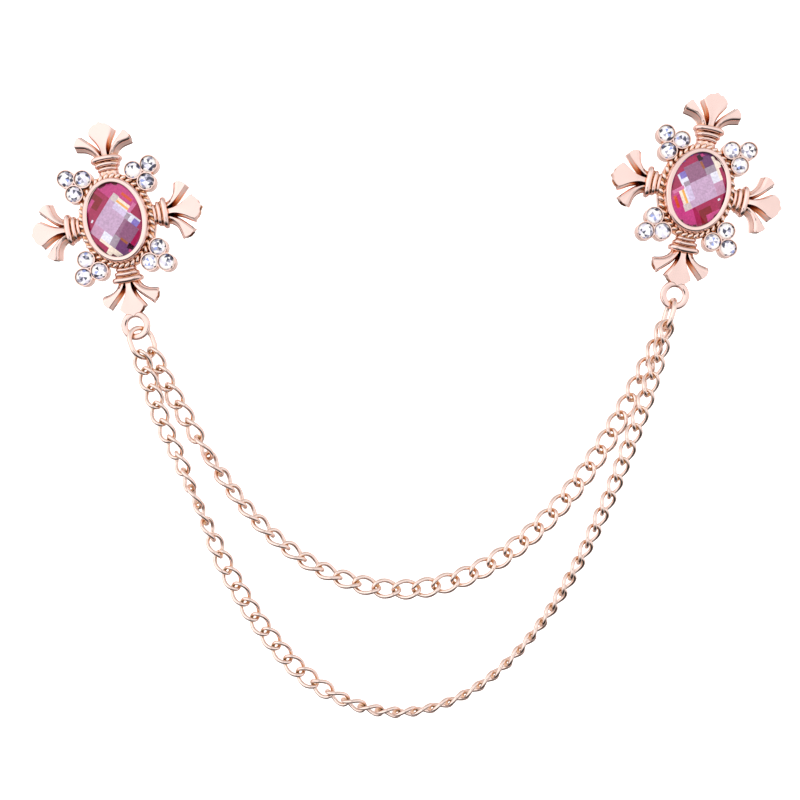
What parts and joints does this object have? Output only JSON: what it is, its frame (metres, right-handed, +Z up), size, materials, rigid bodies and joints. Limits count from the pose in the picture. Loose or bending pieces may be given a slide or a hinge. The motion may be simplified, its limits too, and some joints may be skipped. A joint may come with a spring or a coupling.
{
  "type": "lapel chain",
  "caption": "Lapel chain: two cross brooches with bow arms and a domed oval pink stone each, joined by an upper and a lower curb chain hung from oval jump rings.",
  "frame": {"origin": "centre of the left brooch's flat back, where it lies on the cloth", "axes": "+X from the left brooch to the right one as seen from the front, +Z up, +Y into the cloth along the posts; the front faces -Y"},
  "size_m": [0.1482, 0.0156, 0.1234],
  "materials": {
    "cast_setting": "polished rose gold plate on cast zinc alloy",
    "chain_wire": "polished rose gold plate on brass wire",
    "pink_stone": "cut glass, foiled at the back",
    "clear_stone": "clear cut glass, foiled at the back"
  },
  "bodies": {
    "root": {"left_setting": "cast_setting", "right_setting": "cast_setting", "left_oval_stone": "pink_stone", "right_oval_stone": "pink_stone", "left_jump_ring": "chain_wire", "right_jump_ring": "chain_wire", "upper_chain": "chain_wire", "lower_chain": "chain_wire", "left_tr_out_stone": "clear_stone", "left_tr_mid_stone": "clear_stone", "left_tr_rim_stone": "clear_stone", "left_tl_out_stone": "clear_stone", "left_tl_mid_stone": "clear_stone", "left_tl_rim_stone": "clear_stone", "left_bl_out_stone": "clear_stone", "left_bl_mid_stone": "clear_stone", "left_bl_rim_stone": "clear_stone", "left_br_out_stone": "clear_stone", "left_br_mid_stone": "clear_stone", "left_br_rim_stone": "clear_stone", "right_tr_out_stone": "clear_stone", "right_tr_mid_stone": "clear_stone", "right_tr_rim_stone": "clear_stone", "right_tl_out_stone": "clear_stone", "right_tl_mid_stone": "clear_stone", "right_tl_rim_stone": "clear_stone", "right_bl_out_stone": "clear_stone", "right_bl_mid_stone": "clear_stone", "right_bl_rim_stone": "clear_stone", "right_br_out_stone": "clear_stone", "right_br_mid_stone": "clear_stone", "right_br_rim_stone": "clear_stone"}
  },
  "joints": []
}
